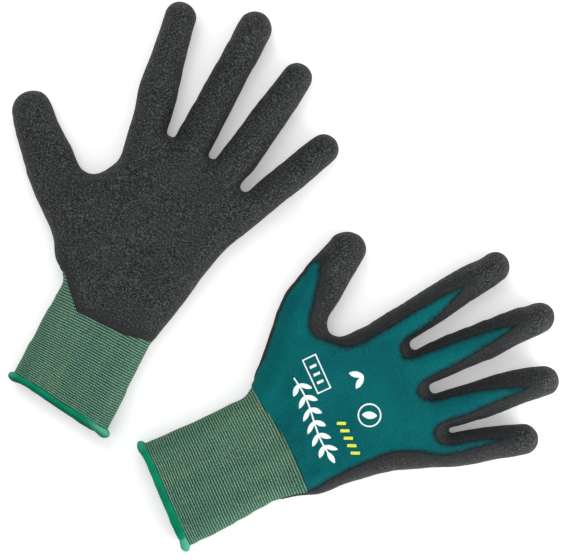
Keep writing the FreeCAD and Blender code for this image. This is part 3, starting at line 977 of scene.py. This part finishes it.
def ring(glove, along, count):
    """Points evenly spaced round the cuff at one distance along it, and how far round each is."""
    low, high = edge_line(glove, along)
    fine = 720
    turn = np.linspace(0, 2 * math.pi, fine + 1)[:-1]
    middle, half = (low + high) / 2, (high - low) / 2
    flat = columns([middle - half * np.cos(turn), np.full(fine, along), np.zeros(fine)])
    depth = np.minimum(flat[:, 0] - low, high - flat[:, 0])
    share = np.sqrt(np.clip(1 - np.clip(1 - depth / ROUND, 0, None) ** 2, 0, 1))
    top, bottom = rises(glove, flat)
    flat[:, 2] = MIDDLE_HIGH + np.where(turn < math.pi, top, -bottom) * share
    closed = np.vstack([flat, flat[:1]])
    length = np.concatenate([[0], np.cumsum(np.linalg.norm(np.diff(closed, axis=0), axis=1))])
    wanted = np.arange(count) / count * length[-1]
    even = columns([np.interp(wanted, length, closed[:, k]) for k in range(3)])
    return even, wanted


def ring_outward(points):
    """Flat outward directions round one ring."""
    run = np.roll(points, -1, 0) - np.roll(points, 1, 0)
    out = columns([-run[:, 2], np.zeros(len(run)), run[:, 0]])
    return out / (lengths(out) + 1e-12)


def course_number(points):
    """Which course of the rib a point is on: they bow towards the fingers and open out there."""
    u, v = points[:, 0], points[:, 1]
    bow = 1.8 * (u / 40) ** 2 * smooth(5, 70, v)
    return np.log(1 + COURSE_GROWTH * (v + bow)) / (COURSE_GROWTH * COURSE)


def hang(glove, points):
    """The open end's own slant: how far it comes down past the plain cuff, side to side."""
    u = points[:, 0]
    near, far = HEM_DROPS[glove.side]
    drop = near + (far - near) * smooth(-42, 42, u)
    drop += 0.35 * waves(columns([u, 0 * u, points[:, 2] > MIDDLE_HIGH]), 71, 14)
    moved = points.copy()
    moved[:, 1] -= drop * (1 - smooth(0, 45, points[:, 1]))
    return moved


def around(rows, count):
    """For each point of rows that close round: its own number and the next one's in its row."""
    start = np.arange(rows)[:, None] * count
    return (start + np.arange(count)).ravel(), (start + (np.arange(count) + 1) % count).ravel()


def grid_faces(rows, count):
    """Triangles over rows of points that close round."""
    a, b = around(rows - 1, count)
    c, d = a + count, b + count
    return np.vstack([columns([a, c, b]), columns([b, c, d])])


def tube_faces(count, sides):
    """Triangles over a closed tube of count rings, each of that many sides."""
    a, b = around(count, sides)
    c, d = (a + sides) % (count * sides), (b + sides) % (count * sides)
    return np.vstack([columns([a, b, c]), columns([b, d, c])])


def tube_points(centres, out, across, along):
    """Rings of points round each centre: across by its outward direction, along by the hand's."""
    return centres[:, None] + out[:, None] * across[:, :, None] + AHEAD * along[:, :, None]


def build_cuff(glove):
    """The striped rib: a tube with a ridge at each pale course, its end tucked under the hand."""
    count = 132
    alongs = np.arange(HEM_LONG / 2, CUFF_LONG + 3.0, COURSE / 4)
    rest, outer, inner, rounds = [], [], [], []
    for along in alongs:
        points, round_place = ring(glove, along, count)
        out = ring_outward(points)
        phase = course_number(points) * 2 * math.pi
        ridge = RIDGE * (0.5 + 0.5 * np.sin(phase)) - RIDGE
        tuck = -CUFF_TUCK * smooth(-2.5, 0.5, knit_start(points))
        lump = 0.10 * waves(points, 51, 7)
        outer.append(points + out * (ridge + tuck + lump)[:, None])
        inner.append(points + out * (tuck + lump - KNIT_THICK)[:, None])
        rest.append(points)
        rounds.append(round_place)
    rows = len(alongs)
    skin = grid_faces(rows, count)
    total = rows * count
    first, last = np.arange(count), total - count + np.arange(count)
    faces = [skin, skin[:, ::-1] + total]
    for edge, flip in ((first, False), (last, True)):
        a, b = edge, np.roll(edge, -1)
        far_a, far_b = a + total, b + total
        wall = np.vstack([columns([a, b, far_a]), columns([b, far_b, far_a])])
        faces.append(wall[:, ::-1] if flip else wall)
    points = hang(glove, np.vstack(outer + inner))
    places = np.vstack(rest + rest)
    make_piece(glove, "hand", ("striped_cuff", "cuff"), "striped_rib", points,
               np.vstack(faces), places, round_place=np.concatenate(rounds + rounds),
               course=course_number(places))


def build_hem(glove):
    """The overlocked edge: a wound band of thread, rounded off at the glove's two sides.

    Its loose end is turned back as a small flap on the little finger's side.
    """
    count, sides = 1200, 16
    points, round_place = ring(glove, HEM_LONG / 2, count)
    out = ring_outward(points)
    low, high = edge_line(glove, HEM_LONG / 2)
    from_thumb, from_little = points[:, 0] - low, high - points[:, 0]
    from_side = np.minimum(from_thumb, from_little)
    flare = HEM_FLARE / 2 * np.exp(-((from_side / 4.0) ** 2))
    side = np.sign(from_little - from_thumb)
    centres = points - out * HEM_SUNK - columns([side * flare, flare, 0 * flare])
    turn = 2 * math.pi * np.arange(sides) / sides
    coil = np.sin(2 * math.pi * (round_place[:, None] / COIL + 0.5 * np.sin(turn)[None, :]))
    rounded = np.sqrt(1 - (1 - np.minimum(from_side + 0.7, 2.6) / 2.6) ** 2)
    uneven = 0.20 * waves(points, 61, 5) + 0.26 * waves(points, 62, 17)
    flap = 0.36 * np.exp(-((from_little - 1.8) / 2.0) ** 2)
    flap -= 0.28 * np.exp(-((from_little - 6.2) / 0.9) ** 2)
    flap += 0.5 * np.exp(-((from_thumb - 2.5) / 3.0) ** 2)
    thick = HEM_THICK + 0.13 * coil + (flare + 0.4 * uneven + 0.3 * flap)[:, None]
    tall = (HEM_HALF + uneven + flap)[:, None] * rounded[:, None] + 0.10 * coil
    square = (np.abs(np.cos(turn)) ** 3 + np.abs(np.sin(turn)) ** 3) ** (-1 / 3)
    across, along = np.cos(turn) * square * thick, np.sin(turn) * square * tall
    flat = tube_points(centres, out, across, along).reshape(-1, 3)
    flat[:, 2] = np.maximum(flat[:, 2], FLOOR_GAP)
    slanted = round_place[:, None] + 0.6 * np.sin(turn)[None, :]
    # Painted highlight towards the little finger's end of the band, and a paler tint at the thumb's end.
    folded = 1 - smooth(*HIGHLIGHT_FADES[glove.side], from_little)
    folded += 0.55 * (1 - smooth(1.0, 5.0, from_thumb))
    # Painted shade over the lower half of the band's section, stronger on the left glove.
    underside = np.tile(0.5 - 0.5 * np.sin(turn), count) * HEM_UNDER_SHADE[glove.side]
    make_piece(glove, "hand", ("wound_hem", "hem"), "overlock_thread", hang(glove, flat),
               tube_faces(count, sides), flat, round_place=slanted.ravel(),
               folded=np.repeat(folded, sides), underside=underside)


def build_elastic(glove):
    """Elastic threads laid round the inside of the cuff, one every few courses."""
    count, sides = 120, 6
    turn = 2 * math.pi * np.arange(sides) / sides
    across, along = np.cos(turn)[None] * ELASTIC_RADIUS, np.sin(turn)[None] * ELASTIC_RADIUS
    points, faces, rounds = [], [], []
    for k in range(ELASTIC_LOOPS):
        loop, round_place = ring(glove, ELASTIC_FIRST + k * ELASTIC_PITCH, count)
        out = ring_outward(loop)
        centres = loop - out * (KNIT_THICK + ELASTIC_RADIUS - 0.05)
        points.append(tube_points(centres, out, across, along).reshape(-1, 3))
        faces.append(tube_faces(count, sides) + k * count * sides)
        rounds.append(np.repeat(round_place, sides))
    points = hang(glove, np.vstack(points))
    make_piece(glove, "hand", ("elastic_threads", "cuff_elastic"), "elastic_thread", points,
               np.vstack(faces), points, round_place=np.concatenate(rounds))


# ---- prints


def turned(points, where, turn):
    """Flat points as seen from a shape's own centre and direction."""
    flat = points[:, :2] - np.asarray(where, float)
    angle = math.radians(turn)
    along = np.array([math.cos(angle), math.sin(angle)])
    return flat @ along, flat @ np.array([-along[1], along[0]])


def bar(points, where, long, wide, turn=0):
    """How far each point is inside a plain bar."""
    x, y = turned(points, where, turn)
    return np.minimum(long / 2 - np.abs(x), wide / 2 - np.abs(y))


def leaf(points, where, long, wide, turn=0):
    """How far each point is inside a leaf pointed at both ends."""
    x, y = turned(points, where, turn)
    radius = (long * long + wide * wide) / (4 * wide)
    offset = radius - wide / 2
    return radius - np.hypot(x, np.abs(y) + offset)


def sprig(points):
    """A white sprig of leaves across the back of the hand."""
    stem_long = 50.0
    sway = 1.2 * np.sin((points[:, 0] + 30) / 8.0)
    swayed = points[:, :2] - columns([0 * sway, sway])
    shapes = [bar(swayed, (-6.5, 97), stem_long, 1.0)]
    pairs = 6
    for i in range(pairs):
        across = -6.5 - stem_long / 2 + (i + 0.6) * stem_long / (pairs + 0.4)
        for side in (-1, 1):
            shapes.append(leaf(swayed, (across + 2.4, 97 + side * 3.0), 8.4, 3.0, side * 48))
    shapes.append(leaf(swayed, (stem_long / 2 - 5.0, 97), 8.0, 3.2))
    return np.maximum.reduce(shapes)


def badges(points):
    """White marks: a ring round a leaf, a framed row of three bars, and a pair of small leaves."""
    away = np.hypot(points[:, 0] - 7, points[:, 1] - 128)
    shapes = [np.minimum(7.0 - away, away - 6.1), leaf(points, (7, 128), 9.0, 4.4, 60)]
    u, v = -28, 110
    shapes.append(np.minimum(bar(points, (u, v), 22, 9), -bar(points, (u, v), 20.4, 7.4)))
    shapes += [bar(points, (u + 5 * i, v), 1.6, 4.2) for i in (-1, 0, 1)]
    shapes += [leaf(points, (-18 + 5 * i, 131), 9.0, 3.6, turn) for i, turn in enumerate((55, 125))]
    return np.maximum.reduce(shapes)


def slanted_row(points):
    """A yellow row of short slanting bars."""
    return np.maximum.reduce([bar(points, (4.4 + 4.8 * i, 111), 5.4, 1.8, 64) for i in range(5)])


def build_prints(glove, whole):
    """The three prints, each a thin skin cut from the knitted surface."""
    prints = (("sprig", sprig, "white"), ("badge", badges, "white"), ("row", slanted_row, "yellow"))
    for name, shape, color in prints:
        surface, faces = whole
        back = (surface[:, 2] > MIDDLE_HIGH) == glove.back_up
        near = back & (shape(surface) > -2.5) & (surface[:, 1] > 78) & (surface[:, 1] < 150)
        faces = faces[near[faces].any(1)]
        for _ in range(2):
            surface, faces = refine(surface, faces)
        surface, faces = clip(surface, faces, shape(surface[:, REST]))
        names = (f"{name}_print_ink", f"{name}_print")
        shell(glove, "hand", names, f"{color}_ink", surface, faces, INK_PROUD, -0.02)


# ---- the scene


def light(name, place, size, power):
    """A soft square light that faces the gloves."""
    data = bpy.data.lights.new(name, "AREA")
    data.shape = "SQUARE"
    data.size = size
    data.energy = power
    obj = bpy.data.objects.new(name, data)
    obj.location = place
    obj.rotation_euler = (-Vector(place)).to_track_quat("-Z", "Y").to_euler()
    bpy.context.scene.collection.objects.link(obj)


def studio():
    """A white table under soft lights, seen from straight above."""
    scene = bpy.context.scene
    scene.view_settings.view_transform = "Standard"

    floor_mesh = bpy.data.meshes.new("floor")
    reach = 4.0
    corners = [(-reach, -reach, 0), (reach, -reach, 0), (reach, reach, 0), (-reach, reach, 0)]
    floor_mesh.from_pydata(corners, [], [(0, 1, 2, 3)])
    floor = bpy.data.objects.new("floor", floor_mesh)
    scene.collection.objects.link(floor)
    paper = bpy.data.materials.new("floor_paper")
    paper.use_nodes = True
    look = paper.node_tree.nodes["Principled BSDF"].inputs
    look["Base Color"].default_value = (0.93, 0.93, 0.93, 1)
    look["Roughness"].default_value = 0.9
    look["Emission Color"].default_value = (1, 1, 1, 1)
    look["Emission Strength"].default_value = FLOOR_GLOW
    floor_mesh.materials.append(paper)

    world = bpy.data.worlds.new("studio")
    world.use_nodes = True
    strength = world.node_tree.nodes.new("ShaderNodeMapRange")
    strength.inputs["To Min"].default_value = SKY_LIGHT
    strength.inputs["To Max"].default_value = SKY_SEEN
    path = world.node_tree.nodes.new("ShaderNodeLightPath")
    world.node_tree.links.new(path.outputs["Is Camera Ray"], strength.inputs["Value"])
    sky = world.node_tree.nodes["Background"]
    sky.inputs["Color"].default_value = (1, 1, 1, 1)
    world.node_tree.links.new(strength.outputs[0], sky.inputs["Strength"])
    scene.world = world
    for name, (place, size, power) in LIGHTS.items():
        light(name, place, size, power)

    camera = bpy.data.cameras.new("camera")
    camera.sensor_width = 36.0
    camera.lens = CAMERA_LENS
    eye = bpy.data.objects.new("camera", camera)
    eye.location = CAMERA_PLACE
    scene.collection.objects.link(eye)
    scene.camera = eye


studio()
MATERIALS = {
    "teal_knit": knit_material(),
    "striped_rib": rib_material(),
    "overlock_thread": hem_material(),
    "latex": latex_material(),
    "elastic_thread": elastic_material(),
    "white_ink": ink_material("white_ink", rgb(226, 234, 232), rgb(150, 186, 186)),
    "yellow_ink": ink_material("yellow_ink", rgb(214, 222, 40), rgb(120, 160, 60)),
}
for SIDE in SIDES:
    GLOVE = Glove(SIDE)
    build_cuff(GLOVE)
    build_hem(GLOVE)
    build_elastic(GLOVE)
    build_prints(GLOVE, build_hand(GLOVE))
